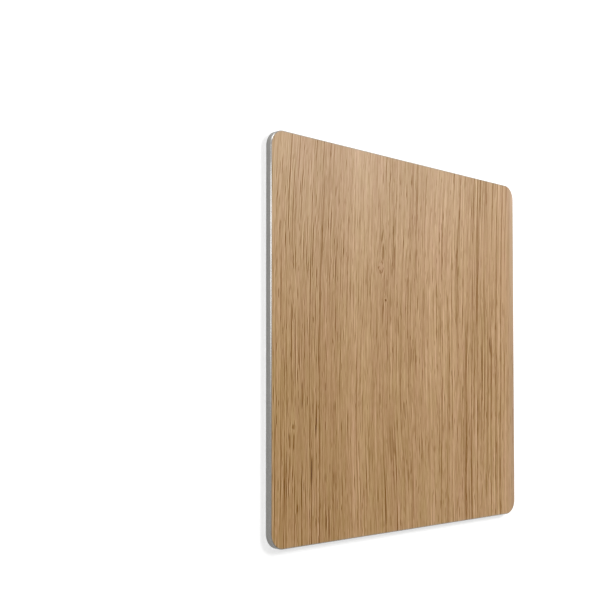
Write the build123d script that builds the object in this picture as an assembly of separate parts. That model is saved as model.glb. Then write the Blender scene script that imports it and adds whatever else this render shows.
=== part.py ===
from build123d import *
import os

# Aluminium composite panel with an oak decor face, lying flat with the decor face up.
# All sizes are in millimetres. X runs across the wood grain, Y along it and Z through the panel.
# The origin is in the middle of the rear face, on the surface that the panel lies on.

# Outline of the finished panel
PANEL_WIDTH = 200.0
PANEL_LENGTH = 200.0
CORNER_RADIUS = 8.0

# Layers, from the rear face upwards: 4 mm in all
REAR_SKIN_THICKNESS = 0.50
BOND_FILM_THICKNESS = 0.08
CORE_THICKNESS = 2.72
FACE_SKIN_THICKNESS = 0.50
DECOR_FILM_THICKNESS = 0.12

# Edge work, done once the sheet is routed to its outline
FACE_BEVEL = 0.35
REAR_EDGE_BREAK = 0.15
BEVEL_ANGLE = 45.0

# Heights at which one layer ends and the next begins
REAR_SKIN_TOP = REAR_SKIN_THICKNESS
CORE_BOTTOM = REAR_SKIN_TOP + BOND_FILM_THICKNESS
CORE_TOP = CORE_BOTTOM + CORE_THICKNESS
FACE_SKIN_BOTTOM = CORE_TOP + BOND_FILM_THICKNESS
FACE_SKIN_TOP = FACE_SKIN_BOTTOM + FACE_SKIN_THICKNESS


def outline(setback=0.0):
    """The panel's rounded rectangle, drawn in by a setback with its corners on the same centres."""
    return RectangleRounded(
        PANEL_WIDTH - 2 * setback,
        PANEL_LENGTH - 2 * setback,
        CORNER_RADIUS - setback,
    )


def layer(bottom, thickness):
    """A flat layer that reaches the routed outline all round."""
    return Pos(0, 0, bottom) * extrude(outline(), thickness)


def rear_skin():
    """Aluminium sheet that the panel lies on, with the sharp edge taken off all round."""
    sheet = layer(0, REAR_SKIN_THICKNESS)
    rear_face = sheet.faces().sort_by(Axis.Z)[0]
    return chamfer(rear_face.edges(), REAR_EDGE_BREAK)


def rear_bond_film():
    """Adhesive film between the rear skin and the core."""
    return layer(REAR_SKIN_TOP, BOND_FILM_THICKNESS)


def core():
    """Solid grey plastic core."""
    return layer(CORE_BOTTOM, CORE_THICKNESS)


def face_bond_film():
    """Adhesive film between the core and the face skin."""
    return layer(CORE_TOP, BOND_FILM_THICKNESS)


def face_skin():
    """Aluminium sheet under the decor, with a bevel that leaves a bright line round the face."""
    sheet = layer(FACE_SKIN_BOTTOM, FACE_SKIN_THICKNESS)
    front_face = sheet.faces().sort_by(Axis.Z)[-1]
    return chamfer(front_face.edges(), FACE_BEVEL)


def decor_film():
    """Wood-grain film on the face skin, cut by the same bevel, so its edge goes on at the bevel's angle."""
    cut = extrude(outline(FACE_BEVEL), DECOR_FILM_THICKNESS, taper=BEVEL_ANGLE)
    return Pos(0, 0, FACE_SKIN_TOP) * cut


PARTS = {
    "rear_skin": rear_skin,
    "rear_bond_film": rear_bond_film,
    "core": core,
    "face_bond_film": face_bond_film,
    "face_skin": face_skin,
    "decor_film": decor_film,
}

os.makedirs("parts", exist_ok=True)
for node, make in PARTS.items():
    export_step(make(), f"parts/{node}.step")
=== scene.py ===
import math
from typing import NamedTuple

import bpy
from mathutils import Matrix, Vector


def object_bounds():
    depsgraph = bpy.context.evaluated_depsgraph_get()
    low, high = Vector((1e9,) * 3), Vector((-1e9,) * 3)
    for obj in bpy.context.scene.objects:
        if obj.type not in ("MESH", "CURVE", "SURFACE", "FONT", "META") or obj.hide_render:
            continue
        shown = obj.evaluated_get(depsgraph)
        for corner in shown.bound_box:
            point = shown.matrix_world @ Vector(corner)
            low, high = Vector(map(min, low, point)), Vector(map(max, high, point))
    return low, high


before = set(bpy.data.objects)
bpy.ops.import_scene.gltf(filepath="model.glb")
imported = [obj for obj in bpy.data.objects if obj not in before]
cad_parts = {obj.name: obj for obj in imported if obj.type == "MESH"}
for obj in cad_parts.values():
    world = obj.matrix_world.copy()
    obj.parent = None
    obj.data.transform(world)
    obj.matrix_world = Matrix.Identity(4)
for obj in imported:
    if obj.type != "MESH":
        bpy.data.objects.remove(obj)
cad_low, cad_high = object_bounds()

# Aluminium composite panel lying with its oak face up, seen from its left side and above.
# Lengths are in metres unless a name says mm. X runs across the grain, Y along it, Z out of the face.
# Left is low x and right is high x, near is low y and far is high y.

MM = 0.001
PICTURE_SIDE_PX = 600
SCREEN_WHITE = 255.0
SENSOR_WIDTH_MM = 36.0

# Camera. The focal length and the level of the lens axis are in pixels of the square picture. Without a yaw
# and a pitch the camera would look straight down, with the far end on top.
FOCAL_LENGTH_PX = 959.6
LENS_AXIS_ROW_PX = 360.0
VIEW_YAW = math.radians(43.52)
VIEW_PITCH = math.radians(-1.535)
CLIP_START, CLIP_END = 0.01, 50.0
# The face's far left corner, seen from the camera: to the right, upwards and towards the viewer.
CORNER_FROM_CAMERA = Vector((-0.013611, 0.110214, -0.454362))

# Light. A radiance of 1 is white. Lamps: name, place, target, width, height and radiance.
WORLD_FILL = 0.40
LAMPS = (
    ("sheen", (0.56, 0.44, 0.65), (0.0, 0.0, 0.0), 0.40, 0.40, 11.6),
    ("edge", (-0.835, 0.20, 0.66), (-0.1, 0.05, 0.0), 0.22, 0.24, 2.8),
    ("corner", (-0.486, 1.01, 0.48), (-0.1, 0.1, 0.0), 0.70, 0.30, 2.4),
)

# Floor, a hair below the panel. What it gives off by itself grows between two distances from the middle,
# because the lamps don't reach far.
FLOOR_HALF = 4.0
FLOOR_DROP = 0.00002
FLOOR_COLOUR = 0.92
FLOOR_ROUGHNESS = 0.9
FLOOR_NEAR, FLOOR_FAR = 0.30, 1.40
FLOOR_LIFT_NEAR, FLOOR_LIFT_FAR = 0.42, 0.66


def linear(red, green, blue):
    """A colour given as it shows on a screen, from 0 to 255, as linear light."""
    def channel(value):
        share = value / SCREEN_WHITE
        return share / 12.92 if share <= 0.04045 else ((share + 0.055) / 1.055) ** 2.4
    return (channel(red), channel(green), channel(blue))


# Node trees

# Each noise has a layer number. It shifts the noise, so that no two layers are alike.
LATTICE_TILT = (0.9, 0.5, 0.7)
LAYER_STEP = (7.3, 3.1, 5.7)


def seen_directly(nodes, links):
    """1 for what the camera, a reflection or a look through glass sees, 0 for the light on things."""
    path = nodes.new("ShaderNodeLightPath")
    seen = path.outputs["Is Camera Ray"]
    for ray in ("Is Glossy Ray", "Is Transmission Ray"):
        either = nodes.new("ShaderNodeMath")
        either.operation = "MAXIMUM"
        links.new(seen, either.inputs[0])
        links.new(path.outputs[ray], either.inputs[1])
        seen = either.outputs[0]
    return seen


class Tree:
    """The node tree of one material, with a short call for each kind of node used here."""

    def __init__(self, name):
        self.material = bpy.data.materials.new(name)
        self.material.use_nodes = True
        self.nodes = self.material.node_tree.nodes
        self.links = self.material.node_tree.links
        self.shader = self.nodes["Principled BSDF"]

    def feed(self, socket, value):
        """Links a socket to another, or sets it to a constant."""
        if isinstance(value, bpy.types.NodeSocket):
            self.links.new(value, socket)
        elif isinstance(value, tuple) and len(value) == 3 and len(socket.default_value) == 4:
            socket.default_value = (*value, 1.0)
        else:
            socket.default_value = value

    def math(self, operation, *values):
        node = self.nodes.new("ShaderNodeMath")
        node.operation = operation
        for socket, value in zip(node.inputs, values):
            self.feed(socket, value)
        return node.outputs[0]

    def add(self, first, second):
        return self.math("ADD", first, second)

    def times(self, first, second):
        return self.math("MULTIPLY", first, second)

    def total(self, values):
        result = values[0]
        for value in values[1:]:
            result = self.add(result, value)
        return result

    def weighted(self, pairs):
        """The sum of some values, each times its weight. Those of weight 0 are left out."""
        return self.total([self.times(value, weight) for value, weight in pairs if weight])

    def mix(self, share, start, end):
        """One number turning into another."""
        return self.add(self.times(share, self.add(end, self.times(start, -1.0))), start)

    def vector(self, x, y, z=0.0):
        node = self.nodes.new("ShaderNodeCombineXYZ")
        for socket, value in zip(node.inputs, (x, y, z)):
            self.feed(socket, value)
        return node.outputs[0]

    def place(self):
        """The point's place on the object, in metres."""
        return self.nodes.new("ShaderNodeTexCoord").outputs["Object"]

    def place_mm(self):
        """The point's x, y and z on the panel, in millimetres."""
        scaled = self.nodes.new("ShaderNodeVectorMath")
        scaled.operation = "SCALE"
        self.feed(scaled.inputs[0], self.place())
        scaled.inputs["Scale"].default_value = 1 / MM
        split = self.nodes.new("ShaderNodeSeparateXYZ")
        self.feed(split.inputs[0], scaled.outputs[0])
        return split.outputs

    def distance(self):
        """How far the point is from the object's middle, in metres."""
        node = self.nodes.new("ShaderNodeVectorMath")
        node.operation = "LENGTH"
        self.feed(node.inputs[0], self.place())
        return node.outputs["Value"]

    def plain_noise(self, vector, detail=0.0, harshness=0.5):
        """Smooth noise around zero, its features about 1 large."""
        node = self.nodes.new("ShaderNodeTexNoise")
        node.inputs["Scale"].default_value = 1.0
        node.inputs["Detail"].default_value = detail
        node.inputs["Roughness"].default_value = harshness
        self.feed(node.inputs["Vector"], vector)
        return self.add(node.outputs["Fac"], -0.5)

    def noise(self, vector, sizes, layer, detail=0.0, harshness=0.5):
        """Smooth noise around zero, its features as large as given along each axis.

        Its lattice lies askew to the axes, so that no rows or columns show."""
        mapping = self.nodes.new("ShaderNodeMapping")
        self.feed(mapping.inputs["Vector"], vector)
        mapping.inputs["Scale"].default_value = [1 / size for size in sizes]
        mapping.inputs["Rotation"].default_value = LATTICE_TILT
        mapping.inputs["Location"].default_value = [layer * step for step in LAYER_STEP]
        return self.plain_noise(mapping.outputs["Vector"], detail, harshness)

    def flat_noises(self, vector, rows, first_layer):
        """One noise for each row: its width and length in mm, and its strength."""
        return [
            self.times(self.noise(vector, (width, length, 1.0), layer), strength)
            for layer, (width, length, strength) in enumerate(rows, first_layer)
        ]

    def random(self, index, layer):
        """Three numbers from 0 to 1 that belong to a whole number."""
        node = self.nodes.new("ShaderNodeTexWhiteNoise")
        node.noise_dimensions = "2D"
        self.feed(node.inputs["Vector"], self.vector(index, float(layer)))
        split = self.nodes.new("ShaderNodeSeparateColor")
        self.feed(split.inputs["Color"], node.outputs["Color"])
        return split.outputs

    def ramp(self, value, low, high, to_low=0.0, to_high=1.0):
        """A smooth step: to_low before the first place, to_high past the second one."""
        node = self.nodes.new("ShaderNodeMapRange")
        node.interpolation_type = "SMOOTHSTEP"
        for name, number in (("From Min", low), ("From Max", high), ("To Min", to_low), ("To Max", to_high)):
            node.inputs[name].default_value = number
        self.feed(node.inputs["Value"], value)
        return node.outputs["Result"]

    def band(self, value, middle, half_width):
        """1 in the middle of a band, falling smoothly to 0 at its sides."""
        away = self.math("ABSOLUTE", self.add(value, -middle))
        return self.ramp(away, half_width, 0.0)

    def blend(self, share, start, end):
        """One colour turning into another."""
        node = self.nodes.new("ShaderNodeMix")
        node.data_type = "RGBA"
        colours = [socket for socket in node.inputs if socket.type == "RGBA"]
        self.feed(node.inputs["Factor"], share)
        self.feed(colours[0], start)
        self.feed(colours[1], end)
        return [socket for socket in node.outputs if socket.type == "RGBA"][0]

    def shaded(self, shade, colour):
        """A colour with the same shade added to its red, green and blue."""
        return self.vector(*[self.add(shade, level) for level in colour])

    def bump(self, height_mm):
        node = self.nodes.new("ShaderNodeBump")
        node.inputs["Strength"].default_value = 1.0
        node.inputs["Distance"].default_value = MM
        self.feed(node.inputs["Height"], height_mm)
        self.feed(self.shader.inputs["Normal"], node.outputs["Normal"])

    def finish(self, colour, roughness, metallic=0.0):
        self.feed(self.shader.inputs["Base Color"], colour)
        self.feed(self.shader.inputs["Roughness"], roughness)
        self.feed(self.shader.inputs["Metallic"], metallic)
        return self.material


# Camera, light and floor

def make_camera():
    data = bpy.data.cameras.new("camera")
    data.sensor_width = SENSOR_WIDTH_MM
    data.lens = FOCAL_LENGTH_PX * SENSOR_WIDTH_MM / PICTURE_SIDE_PX
    data.shift_y = (LENS_AXIS_ROW_PX - PICTURE_SIDE_PX / 2) / PICTURE_SIDE_PX
    data.clip_start = CLIP_START
    data.clip_end = CLIP_END
    camera = bpy.data.objects.new("camera", data)
    turn = Matrix.Rotation(-VIEW_YAW, 3, "Y") @ Matrix.Rotation(-VIEW_PITCH, 3, "X")
    corner = Vector((cad_low.x, cad_high.y, cad_high.z))
    camera.matrix_world = Matrix.Translation(corner - turn @ CORNER_FROM_CAMERA) @ turn.to_4x4()
    bpy.context.scene.collection.objects.link(camera)
    bpy.context.scene.camera = camera


def make_softbox(name, place, target, width, height, radiance):
    """A soft rectangular lamp of an even radiance, turned to its target."""
    data = bpy.data.lights.new(name, "AREA")
    data.shape = "RECTANGLE"
    data.size = width
    data.size_y = height
    data.energy = radiance * width * height * math.pi
    lamp = bpy.data.objects.new(name, data)
    lamp.location = place
    lamp.rotation_euler = (Vector(target) - Vector(place)).to_track_quat("-Z", "Y").to_euler()
    bpy.context.scene.collection.objects.link(lamp)


def make_world():
    """Even white surroundings, with a weaker fill for the light itself."""
    world = bpy.data.worlds.new("surroundings")
    bpy.context.scene.world = world
    world.use_nodes = True
    nodes, links = world.node_tree.nodes, world.node_tree.links
    background = nodes["Background"]
    background.inputs["Color"].default_value = (1, 1, 1, 1)
    level = nodes.new("ShaderNodeMix")
    level.inputs["A"].default_value = WORLD_FILL
    level.inputs["B"].default_value = 1.0
    links.new(seen_directly(nodes, links), level.inputs["Factor"])
    links.new(level.outputs["Result"], background.inputs["Strength"])


def make_floor():
    """A pale floor that shows white and keeps the panel's shadow."""
    mesh = bpy.data.meshes.new("floor")
    corners = ((-1, -1), (1, -1), (1, 1), (-1, 1))
    mesh.from_pydata([(x * FLOOR_HALF, y * FLOOR_HALF, 0) for x, y in corners], [], [(0, 1, 2, 3)])
    floor = bpy.data.objects.new("floor", mesh)
    floor.location.z = -FLOOR_DROP
    bpy.context.scene.collection.objects.link(floor)
    tree = Tree("floor")
    lift = tree.ramp(tree.distance(), FLOOR_NEAR, FLOOR_FAR, FLOOR_LIFT_NEAR, FLOOR_LIFT_FAR)
    lift = tree.times(lift, seen_directly(tree.nodes, tree.links))
    tree.feed(tree.shader.inputs["Emission Color"], (1.0, 1.0, 1.0))
    tree.feed(tree.shader.inputs["Emission Strength"], lift)
    floor.data.materials.append(tree.finish((FLOOR_COLOUR,) * 3, FLOOR_ROUGHNESS))


# Oak decor film. Its print is mixed in screen colours, from 0 to 255, and turned to linear light at the end.
# A tone is a shift of all three colours. A ramp is two places and what it reaches there, 0 and 1 if nothing
# is said. Its places are in mm where it runs over x or y.

OAK_GROUND = (176.5, 136.3, 87.3)
SCREEN_GAMMA = 2.2
# The film's cut edge is a darker brown, painted shade along the edge of the print.
FILM_EDGE_COLOUR = linear(150, 122, 92)

# How red, green and blue follow the tone and the redness, and how they shift in parts of the face.
TONE_SHARE = (1.0, 1.0, 1.18)
REDDER = (0.7, -0.3, 1.3)
RIGHTWARD_SHIFT = (0.0, 0.8, 3.2)
LEFT_STRIP_SHIFT = (0.0, 0.3, -3.0)
RIGHT_STRIP_SHIFT = (-5.0, -3.0, 2.0)
# The right rim's shift, with its lighter tone, is a painted glint of the metal bevel beside it.
RIGHT_RIM_SHIFT = (0.0, 3.0, 8.0)
RIM_SHIFT = (-8.0, 0.0, 8.0)

# Ramps over x for these parts, and one over y for the tone of the right rim, whose lighter tone is a painted
# glint.
RIGHTWARD = (-70.0, 70.0)
LEFT_STRIP = (-80.0, -97.0)
RIGHT_STRIP = (90.0, 97.0)
RIGHT_RIM = (94.5, 98.0)
RIGHT_RIM_TONE = (-10.0, 40.0, -3.0, 11.0)

# The bevel makes the film's face smaller than the panel's outline. The rim of the face is greyer, a painted
# glint of the metal bevel beside it.
PANEL_CORNER_MM = 8.0
BEVEL_MM = 0.47
FACE_HALF_MM = cad_high.x / MM - BEVEL_MM
FACE_CORNER_MM = PANEL_CORNER_MM - BEVEL_MM
RIM_WIDTH_MM = 0.8

# The cut edge of the film turns into its face between these levels.
FACE_LEVELS_MM = (cad_high.z / MM - 0.012, cad_high.z / MM - 0.004)

# Dark pores are small hollows that shine less and are rougher: ramps over the tone, and height in mm for
# each step of tone.
PORE_SHINE = (-58.0, -20.0, 0.2, 0.5)
PORE_ROUGHNESS = (-45.0, 15.0, 0.60, 0.45)
TONE_HEIGHT_MM = 0.0006

# Sway of the grain: width and length in mm, and how far it goes, in mm. It is weaker at the left and at the
# right, by ramps over x.
SWAYS = (
    (60.0, 130.0, 6.0),
    (22.0, 60.0, 1.5),
    (7.0, 22.0, 0.2),
)
SWAY_AT_LEFT = (-80.0, -20.0, 0.35, 1.0)
SWAY_AT_RIGHT = (45.0, 80.0, 1.0, 0.55)

# Towards the far end the grain leans to the right: from which y on, and by how much more for each mm.
LEAN_FROM_MM = 5.0
LEAN_GROWTH = 0.0009

# Soft streaks: width and length in mm, and the spread of their tone.
STREAKS = (
    (9.0, 300.0, 3.0),
    (1.7, 900.0, 18.5),
    (1.1, 30.0, 25.0),
    (0.7, 10.5, 34.5),
    (0.4, 4.0, 29.0),
)

# Pencil lines: spacing, width and length in mm, how rare they are, and depth of tone. The depth of pale ones
# is negative.
PENCIL_LINES = (
    (5.3, 0.80, 170.0, 0.00, 22.5),
    (3.7, 0.75, 56.0, 0.04, 23.5),
    (2.3, 0.65, 27.0, 0.06, 28.0),
    (1.7, 0.55, 13.0, 0.10, 33.5),
    (1.3, 0.45, 6.5, 0.12, 30.0),
    (2.9, 0.80, 52.0, 0.03, -16.0),
)

# Broader lines in the right-hand quarter: spacing, width and length in mm, and how rare they are. They come
# in over one ramp over x and end over another.
BROAD_LINES = (
    (3.3, 1.2, 70.0, 0.00),
    (5.9, 1.5, 110.0, -0.03),
)
BROAD_LINE_DEPTH = 23.5
BROAD_FROM = (18.0, 48.0)
BROAD_UP_TO = (99.0, 92.0)

# A line's middle keeps a margin, a share of the spacing, to both sides of its strip. Its width is the given
# one times a share and up to 1 more. It starts and stops softly.
LINE_MARGIN = 0.2
LINE_THINNEST = 0.6
LINE_END_SOFTNESS = 0.16

# A line's edge, and the lighter stretch beside it: ramps over the distance from the edge, in mm.
LINE_EDGE = (0.22, -0.12)
SIDE_LIGHT = 0.32
SIDE_LIGHT_START = (0.10, 0.35)
SIDE_LIGHT_END = (1.1, 0.5)

# Steps that keep the lines of different layers and strips apart.
STRIP_STEP = 0.37
STRENGTH_STEP = 1.7
INDEX_STEP = 5.37
PHASE_SPAN = 90.0

# At the left, lines are thinner and show more: ramps over x, x and y, and how much more the long and the
# short ones show.
THINNER = (0.0, -70.0, 1.0, 0.6)
CRISP_FROM = (-40.0, -75.0)
CRISP_ALONG = (90.0, -10.0, 0.5, 1.0)
CRISP_LONG, CRISP_SHORT = 0.2, 0.8

# Towards the far right corner long lines are stronger and short ones weaker: ramps over x and y, and the
# shares reached there.
LONG_FROM_MM = 50.0
FAR_RIGHT_X = (40.0, 70.0)
FAR_RIGHT_Y = (0.0, 60.0)
CORNER_LONG_SHARE, CORNER_SHORT_SHARE = 1.2, 0.55

# The grain's contrast. It is lower at the far end, by a ramp over y, but for the part on the right, by a
# ramp over x. It is also lower along the right border.
GRAIN_CONTRAST = 0.98
FAR_END_CONTRAST = (40.0, 92.0, 1.0, 0.68)
FULL_CONTRAST_FROM = (20.0, 60.0)
RIGHT_BORDER_CONTRAST = (84.0, 97.0, 1.0, 0.5)

# The darkest and lightest that the grain gets, and how softly it gets there.
DARKEST, LIGHTEST = -56.0, 34.0
SOFTLY = 12.0

# Broad bands along the grain: place and half width in mm, and tone.
BROAD_BANDS = (
    (-66.0, 28.0, -7.0),
    (-37.0, 14.0, 4.0),
    (-13.0, 14.0, -3.0),
    (33.0, 24.0, 7.5),
    (61.0, 14.0, -3.0),
    (88.0, 24.0, 4.0),
)

# On the right the face gets darker towards the far end, painted shade that flattens the sheen lamp's
# gradient there: the y where this adds nothing, the tone that it adds for each mm, and the ramp over x.
FADE_MIDDLE_MM = 10.0
FADE_FOR_EACH_MM = -0.05
FADE_ACROSS = (0.0, 80.0)

# The middle of the far end is darker too, painted shade that tones down the sheen lamp's light there: place
# and half width in mm, a ramp over y, and the tone.
FAR_MIDDLE = (22.0, 50.0)
FAR_MIDDLE_ALONG = (55.0, 92.0)
FAR_MIDDLE_TONE = -6.0

# Patches of a redder brown: width and length in mm, and strength.
RED_PATCHES = (
    (10.0, 60.0, 4.0),
    (2.6, 10.0, 5.0),
)

# Small knots: place in mm, half width, half length, and depth of tone at the rim and in the middle.
KNOTS = (
    (-22.4, 40.0, 2.1, 3.2, 36.0, 0.0),
    (-18.6, 23.0, 0.8, 0.9, 6.0, 60.0),
    (-85.4, -42.2, 1.2, 1.6, 10.0, 34.0),
)

# The two sides of a knot's ring and its heart: ramps over the radius, which is 1 at the rim.
RING_INSIDE = (0.45, 0.8)
RING_OUTSIDE = (1.2, 0.85)
KNOT_HEART = (1.0, 0.5)

# The ring is ragged and broken: both noises' sizes in mm, how ragged it is, and a ramp over the second.
RAGGED_SIZES_MM = (0.9, 1.6, 1.0)
RAGGEDNESS = 0.9
BREAK_SIZES_MM = (1.4, 2.2, 1.0)
BREAKS = (-0.22, 0.06)

# The grain runs round a knot: within how many of its radii, and how strongly. A knot is redder too.
BEND_REACH = 3.0
BEND = -0.6
KNOT_REDNESS = 1.6

# Short dark strokes, most of them at knots: place in mm, half width, half length, lean and depth of tone.
STROKES = (
    (-20.6, 48.0, 0.65, 6.0, 0.06, 42.0),
    (-21.0, 57.0, 0.55, 4.5, 0.20, 32.0),
    (-19.3, 31.5, 0.45, 8.5, 0.00, 26.0),
    (-17.9, 31.0, 0.40, 7.0, 0.02, 16.0),
    (-21.2, 15.0, 0.55, 7.0, 0.00, 30.0),
    (-88.0, -49.0, 0.45, 4.6, 0.00, 48.0),
    (-85.3, -49.5, 0.45, 5.2, 0.05, 46.0),
    (-88.0, -62.0, 0.45, 9.0, 0.00, 34.0),
    (-91.3, -72.0, 0.45, 20.0, 0.02, 32.0),
    (-70.1, -37.0, 0.50, 9.5, 0.03, 52.0),
    (-79.6, -26.0, 0.45, 8.5, 0.00, 38.0),
    (-73.2, -63.5, 0.50, 8.5, 0.03, 48.0),
    (-86.6, -24.0, 0.55, 13.0, 0.02, 34.0),
    (74.9, 1.0, 0.75, 6.0, -0.06, 36.0),
)

# A stroke keeps its full depth up to the first share of its half width and half length. It has faded away
# at its ends and, to the side, at the second share of its half width.
STROKE_CORE = 0.4
STROKE_SIDE = 1.5

# Noise layers of the film, the first of each group.
SWAY_LAYER = 1
STREAK_LAYER = 10
PENCIL_LAYER = 20
BROAD_LAYER = 31
RAGGED_LAYER = 55
BREAK_LAYER = 56
RED_LAYER = 60


def knot_radius(tree, x, y, knot, spread=1.0):
    """Distance from a knot's middle, 1 at its rim."""
    knot_x, knot_y, half_width, half_length, _, _ = knot
    across = tree.times(tree.add(x, -knot_x), 1 / (half_width * spread))
    along = tree.times(tree.add(y, -knot_y), 1 / (half_length * spread))
    return tree.math("SQRT", tree.add(tree.times(across, across), tree.times(along, along)))


def around_knots(tree, x, y):
    """The x at which the grain line through a point would run if there were no knots."""
    moved = x
    for knot in KNOTS:
        near = tree.ramp(knot_radius(tree, x, y, knot, BEND_REACH), 1.0, 0.0)
        moved = tree.add(moved, tree.times(tree.times(tree.add(x, -knot[0]), near), BEND))
    return moved


def straight_run(tree, x, y, flat):
    """The x at which the grain line through a point would run if it were straight."""
    sway = tree.total(tree.flat_noises(flat, SWAYS, SWAY_LAYER))
    sway = tree.times(sway, tree.ramp(x, *SWAY_AT_LEFT))
    leaning = tree.math("MAXIMUM", tree.add(y, -LEAN_FROM_MM), 0.0)
    sway = tree.add(sway, tree.times(tree.times(leaning, leaning), -LEAN_GROWTH / 2))
    sway = tree.times(sway, tree.ramp(x, *SWAY_AT_RIGHT))
    return tree.add(around_knots(tree, x, y), sway)


def depth_from_border(tree, x, y):
    """How far a point of the face lies in from its rounded outline, in mm."""
    out_x = tree.add(tree.math("ABSOLUTE", x), FACE_CORNER_MM - FACE_HALF_MM)
    out_y = tree.add(tree.math("ABSOLUTE", y), FACE_CORNER_MM - FACE_HALF_MM)
    past_x = tree.math("MAXIMUM", out_x, 0.0)
    past_y = tree.math("MAXIMUM", out_y, 0.0)
    round_part = tree.math("SQRT", tree.add(tree.times(past_x, past_x), tree.times(past_y, past_y)))
    straight_part = tree.math("MINIMUM", tree.math("MAXIMUM", out_x, out_y), 0.0)
    return tree.times(tree.add(tree.add(round_part, straight_part), -FACE_CORNER_MM), -1.0)


def pencil_lines(tree, run, y, spacing, width, length, rarity, layer, thinner=1.0):
    """Straight lines of one width that start and stop: 1 on a line, a little below 0 just beside it.

    Each strip of the given spacing holds one line, at a place, width and phase of its own."""
    strip = tree.add(tree.times(run, 1 / spacing), layer * STRIP_STEP)
    index = tree.math("FLOOR", strip)
    place, thickness, phase = tree.random(index, layer)
    middle = tree.add(tree.times(place, 1 - 2 * LINE_MARGIN), LINE_MARGIN)
    away = tree.math("ABSOLUTE", tree.add(tree.math("FRACT", strip), tree.times(middle, -1.0)))
    half = tree.times(tree.times(tree.add(thickness, LINE_THINNEST), thinner), -width / 2)
    outside = tree.add(tree.times(away, spacing), half)
    along = tree.add(tree.times(y, 1 / length), tree.times(phase, PHASE_SPAN))
    strength = tree.plain_noise(tree.vector(tree.times(index, INDEX_STEP), along, layer * STRENGTH_STEP))
    drawn = tree.ramp(strength, rarity, rarity + LINE_END_SOFTNESS)
    core = tree.ramp(outside, *LINE_EDGE)
    side = tree.times(tree.ramp(outside, *SIDE_LIGHT_START), tree.ramp(outside, *SIDE_LIGHT_END))
    return tree.times(tree.add(core, tree.times(side, -SIDE_LIGHT)), drawn)


def grain_contrast(tree, x, y):
    contrast = tree.mix(tree.ramp(x, *FULL_CONTRAST_FROM), tree.ramp(y, *FAR_END_CONTRAST), 1.0)
    contrast = tree.times(contrast, tree.ramp(x, *RIGHT_BORDER_CONTRAST))
    return tree.times(contrast, GRAIN_CONTRAST)


def grain_tone(tree, x, y, run, grain):
    """The tone of all streaks and lines."""
    far_right = tree.times(tree.ramp(x, *FAR_RIGHT_X), tree.ramp(y, *FAR_RIGHT_Y))
    long_share = tree.mix(far_right, 1.0, CORNER_LONG_SHARE)
    short_share = tree.mix(far_right, 1.0, CORNER_SHORT_SHARE)
    crisp = tree.times(tree.ramp(x, *CRISP_FROM), tree.ramp(y, *CRISP_ALONG))
    thinner = tree.ramp(x, *THINNER)
    tones = []
    for streak, (_, length, _) in zip(tree.flat_noises(grain, STREAKS, STREAK_LAYER), STREAKS):
        tones.append(tree.times(streak, long_share if length > LONG_FROM_MM else short_share))
    for layer, (spacing, width, length, rarity, depth) in enumerate(PENCIL_LINES, PENCIL_LAYER):
        lines = pencil_lines(tree, run, y, spacing, width, length, rarity, layer, thinner)
        is_long = length > LONG_FROM_MM
        more = tree.times(crisp, CRISP_LONG if is_long else CRISP_SHORT)
        share = tree.add(more, long_share if is_long else short_share)
        tones.append(tree.times(tree.times(lines, share), -depth))
    rows = enumerate(BROAD_LINES, BROAD_LAYER)
    broad = tree.total([pencil_lines(tree, run, y, *row, layer) for layer, row in rows])
    share = tree.times(tree.times(tree.ramp(x, *BROAD_FROM), tree.ramp(x, *BROAD_UP_TO)), long_share)
    tones.append(tree.times(tree.times(broad, share), -BROAD_LINE_DEPTH))
    tone = tree.times(tree.total(tones), grain_contrast(tree, x, y))
    tone = tree.math("SMOOTH_MAX", tone, DARKEST, SOFTLY)
    return tree.math("SMOOTH_MIN", tone, LIGHTEST, SOFTLY)


def broad_tones(tree, x, y, run):
    """The tones that change slowly over the face, painted shade at the far end among them."""
    tones = []
    for middle, half_width, tone in BROAD_BANDS:
        tones.append(tree.times(tree.band(run, middle, half_width), tone))
    # Painted shade at the far end: darker towards it on the right, and in its middle.
    fade = tree.times(tree.add(y, -FADE_MIDDLE_MM), tree.ramp(x, *FADE_ACROSS))
    tones.append(tree.times(fade, FADE_FOR_EACH_MM))
    far_middle = tree.times(tree.band(x, *FAR_MIDDLE), tree.ramp(y, *FAR_MIDDLE_ALONG))
    tones.append(tree.times(far_middle, FAR_MIDDLE_TONE))
    return tones


def knot_tones(tree, x, y, flat):
    """The tones of the knots, and how much of a knot there is at a point."""
    ragged = tree.times(tree.noise(flat, RAGGED_SIZES_MM, RAGGED_LAYER), RAGGEDNESS)
    broken = tree.ramp(tree.noise(flat, BREAK_SIZES_MM, BREAK_LAYER), *BREAKS)
    tones = []
    shapes = []
    for knot in KNOTS:
        *_, rim_depth, heart_depth = knot
        radius = tree.add(knot_radius(tree, x, y, knot), ragged)
        ring = tree.times(tree.ramp(radius, *RING_INSIDE), tree.ramp(radius, *RING_OUTSIDE))
        heart = tree.ramp(radius, *KNOT_HEART)
        tones.append(tree.times(tree.times(ring, broken), -rim_depth))
        tones.append(tree.times(heart, -heart_depth))
        shapes.append(tree.math("MAXIMUM", ring, heart))
    return tones, tree.total(shapes)


def stroke_tone(tree, x, y, stroke):
    stroke_x, stroke_y, half_width, half_length, lean, depth = stroke
    up = tree.add(y, -stroke_y)
    aside = tree.math("ABSOLUTE", tree.add(tree.add(x, -stroke_x), tree.times(up, -lean)))
    body = tree.ramp(aside, half_width * STROKE_SIDE, half_width * STROKE_CORE)
    ends = tree.ramp(tree.math("ABSOLUTE", up), half_length, half_length * STROKE_CORE)
    return tree.times(tree.times(body, ends), -depth)


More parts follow.
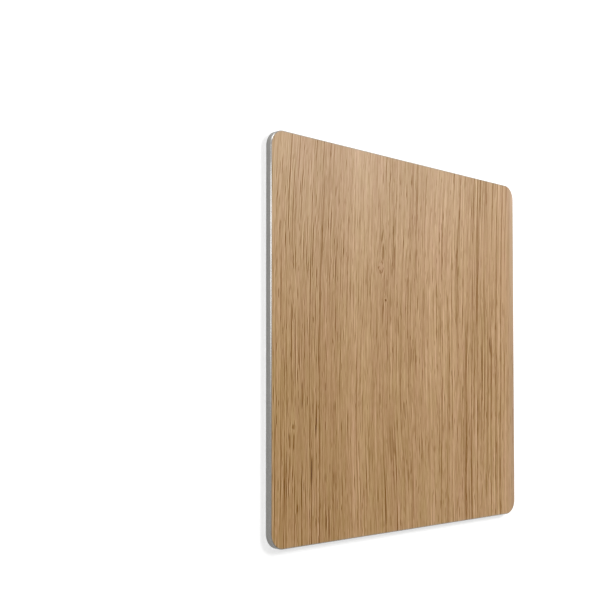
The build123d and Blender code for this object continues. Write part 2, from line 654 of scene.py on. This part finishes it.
def oak():
    tree = Tree("oak_decor")
    x, y, z = tree.place_mm()
    flat = tree.vector(x, y)
    run = straight_run(tree, x, y, flat)
    grain = tree.vector(run, y)
    # Painted glint of the metal bevel: the rim of the face is greyer, and the right rim is lighter and
    # bluer.
    rim_glint = tree.ramp(depth_from_border(tree, x, y), RIM_WIDTH_MM, 0.0)
    right_rim_glint = tree.ramp(x, *RIGHT_RIM)
    tones, knotty = knot_tones(tree, x, y, flat)
    tone = tree.total([
        grain_tone(tree, x, y, run, grain),
        *broad_tones(tree, x, y, run),
        *tones,
        *[stroke_tone(tree, x, y, stroke) for stroke in STROKES],
        tree.times(right_rim_glint, tree.ramp(y, *RIGHT_RIM_TONE)),
    ])
    redness = tree.total([
        *tree.flat_noises(grain, RED_PATCHES, RED_LAYER),
        tree.times(knotty, KNOT_REDNESS),
    ])
    shifts = (
        (tone, TONE_SHARE),
        (redness, REDDER),
        (tree.ramp(x, *RIGHTWARD), RIGHTWARD_SHIFT),
        (tree.ramp(x, *LEFT_STRIP), LEFT_STRIP_SHIFT),
        (tree.ramp(x, *RIGHT_STRIP), RIGHT_STRIP_SHIFT),
        (right_rim_glint, RIGHT_RIM_SHIFT),
        (rim_glint, RIM_SHIFT),
    )
    channels = []
    for number, ground in enumerate(OAK_GROUND):
        level = tree.add(tree.weighted([(value, shift[number]) for value, shift in shifts]), ground)
        channels.append(tree.math("POWER", tree.times(level, 1 / SCREEN_WHITE), SCREEN_GAMMA))
    face = tree.ramp(z, *FACE_LEVELS_MM)
    tree.bump(tree.times(tree.times(tone, TONE_HEIGHT_MM), face))
    tree.feed(tree.shader.inputs["Specular IOR Level"], tree.ramp(tone, *PORE_SHINE))
    colour = tree.blend(face, FILM_EDGE_COLOUR, tree.vector(*channels))
    return tree.finish(colour, tree.ramp(tone, *PORE_ROUGHNESS))


# Aluminium, core and bond film

class SurfaceNoise(NamedTuple):
    """A noise of a surface: the size of its features along x, y and z in mm, and what it does.

    Between is a ramp over the noise. The last three are how far it shifts the colour, the roughness and
    the height in mm."""
    sizes_mm: tuple
    detail: float = 0.0
    harshness: float = 0.5
    between: tuple = ()
    shade: float = 0.0
    roughness: float = 0.0
    height_mm: float = 0.0


# Marks of the saw run along the cut, with shallower ones across it.
SAW_LINES_MM = (60.0, 60.0, 0.07)
CHATTER_MM = (0.5, 0.5, 9.0)

# Bare aluminium, at the cut edge of the face skin and of the rear skin. They are one metal in two tints: the
# face skin's darker, painted shade, and the rear skin's lighter, painted light against the floor's shadow at
# its edge.
CUT_ALUMINIUM = (0.415, 0.410, 0.398)
REAR_ALUMINIUM = (0.74, 0.745, 0.75)
METAL_ROUGHNESS = 0.25
METAL_LAYER = 100
METAL_CLOUDS_MM = (6.0, 6.0, 6.0)
METAL_DULL_PATCHES_MM = (45.0, 45.0, 45.0)
METAL_NOISES = (
    SurfaceNoise(SAW_LINES_MM, detail=1.0, shade=0.22, roughness=0.2, height_mm=0.002),
    SurfaceNoise(CHATTER_MM, shade=0.1, height_mm=0.0015),
    SurfaceNoise(METAL_CLOUDS_MM, detail=2.0, shade=0.12, roughness=0.15),
    SurfaceNoise(METAL_DULL_PATCHES_MM, shade=0.22),
)

# The cut face edge is painted with shade: darker towards the near end, by a ramp over y, and in a stretch
# just before the far corners: its middle and half length along y, and how much of the colour is missing
# there.
NEAR_EDGE_SHARE = (5.0, -35.0, 1.0, 0.6)
SHADED_STRETCH_MM = (87.0, 10.0)
SHADED_STRETCH_LOSS = 0.35

# The service coat on the rear, a little stippled and scratched. Its top is the level that it reaches up to.
COAT_COLOUR = linear(200, 202, 200)
COAT_ROUGHNESS = 0.46
COAT_TOP_MM = 0.03
COAT_LAYER = 110
COAT_STIPPLE_MM = (0.5, 0.9, 1.0)
COAT_ROLLER_MM = (5.0, 160.0, 1.0)
COAT_CLOUDS_MM = (60.0, 90.0, 1.0)
COAT_SCRATCHES_MM = (0.25, 30.0, 1.0)
COAT_NOISES = (
    SurfaceNoise(COAT_STIPPLE_MM, detail=2.0, shade=0.04, roughness=0.2, height_mm=0.006),
    SurfaceNoise(COAT_ROLLER_MM, detail=1.0, shade=0.08),
    SurfaceNoise(COAT_CLOUDS_MM, detail=2.0, shade=0.08, roughness=0.2),
    SurfaceNoise(COAT_SCRATCHES_MM, between=(0.22, 0.3), shade=-0.08, height_mm=-0.002),
)

# The grey plastic of the core.
CORE_COLOUR = linear(171, 169, 165)
CORE_ROUGHNESS = 0.66
CORE_LAYER = 120
CORE_SPECKLE_MM = (0.18, 0.18, 0.18)
CORE_CLOUDS_MM = (14.0, 14.0, 3.0)
CORE_NOISES = (
    SurfaceNoise(SAW_LINES_MM, detail=1.0, shade=0.05, height_mm=0.01),
    SurfaceNoise(CHATTER_MM, shade=0.05, height_mm=0.012),
    SurfaceNoise(CORE_SPECKLE_MM, detail=2.0, harshness=0.7, shade=0.10, roughness=0.3, height_mm=0.012),
    SurfaceNoise(CORE_CLOUDS_MM, detail=2.0, shade=0.06, roughness=0.15),
)

# The adhesive films between the core and the skins.
BOND_COLOUR = linear(196, 196, 190)
BOND_ROUGHNESS = 0.45
BOND_LAYER = 130
BOND_SMEARS_MM = (3.0, 3.0, 0.05)
BOND_NOISES = (
    SurfaceNoise(BOND_SMEARS_MM, detail=2.0, shade=0.1, roughness=0.3, height_mm=0.006),
)


def surface(tree, place, rows, first_layer, base_roughness):
    """The shade, the roughness and the height in mm that the noises of a surface give together."""
    noises = []
    for layer, row in enumerate(rows, first_layer):
        noise = tree.noise(place, row.sizes_mm, layer, row.detail, row.harshness)
        noises.append(tree.ramp(noise, *row.between) if row.between else noise)
    weights = zip(*[(row.shade, row.roughness, row.height_mm) for row in rows])
    shade, roughness, height = [tree.weighted(zip(noises, column)) for column in weights]
    return shade, tree.add(roughness, base_roughness), height


def bare_aluminium(tree, place, tint, share=1.0):
    """The colour, roughness and height of cut metal, with a share of its colour."""
    shade, roughness, height = surface(tree, place, METAL_NOISES, METAL_LAYER, METAL_ROUGHNESS)
    colour = tree.vector(*[tree.times(tree.add(shade, level), share) for level in tint])
    return colour, roughness, height


def edge_metal():
    tree = Tree("bare_aluminium")
    x, y, z = tree.place_mm()
    # Painted shade: the edge metal is darker towards the near end and in a stretch before the far corners.
    shaded_stretch = tree.times(tree.band(y, *SHADED_STRETCH_MM), -SHADED_STRETCH_LOSS)
    share = tree.add(tree.ramp(y, *NEAR_EDGE_SHARE), shaded_stretch)
    colour, roughness, height = bare_aluminium(tree, tree.vector(x, y, z), CUT_ALUMINIUM, share)
    tree.bump(height)
    return tree.finish(colour, roughness, 1.0)


def rear_metal():
    """A thin pale service coat below, and bare metal at the cut edge."""
    tree = Tree("coated_aluminium")
    x, y, z = tree.place_mm()
    place = tree.vector(x, y, z)
    metal_colour, metal_roughness, metal_height = bare_aluminium(tree, place, REAR_ALUMINIUM)
    shade, coat_roughness, coat_height = surface(tree, place, COAT_NOISES, COAT_LAYER, COAT_ROUGHNESS)
    coat = tree.ramp(z, COAT_TOP_MM, COAT_TOP_MM / 2)
    tree.bump(tree.mix(coat, metal_height, coat_height))
    colour = tree.blend(coat, metal_colour, tree.shaded(shade, COAT_COLOUR))
    metallic = tree.ramp(z, COAT_TOP_MM / 2, COAT_TOP_MM)
    return tree.finish(colour, tree.mix(coat, metal_roughness, coat_roughness), metallic)


def plain_surface(name, colour, noises, first_layer, base_roughness):
    """The material of a layer that looks alike all over."""
    tree = Tree(name)
    place = tree.vector(*tree.place_mm())
    shade, roughness, height = surface(tree, place, noises, first_layer, base_roughness)
    tree.bump(height)
    return tree.finish(tree.shaded(shade, colour), roughness)


def dress():
    bond = plain_surface("bond_film", BOND_COLOUR, BOND_NOISES, BOND_LAYER, BOND_ROUGHNESS)
    materials = {
        "rear_skin": rear_metal(),
        "rear_bond_film": bond,
        "core": plain_surface("core_plastic", CORE_COLOUR, CORE_NOISES, CORE_LAYER, CORE_ROUGHNESS),
        "face_bond_film": bond,
        "face_skin": edge_metal(),
        "decor_film": oak(),
    }
    for name, material in materials.items():
        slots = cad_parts[name].data.materials
        slots.clear()
        slots.append(material)


make_camera()
make_world()
for lamp in LAMPS:
    make_softbox(*lamp)
make_floor()
dress()
bpy.context.scene.view_settings.view_transform = "Standard"
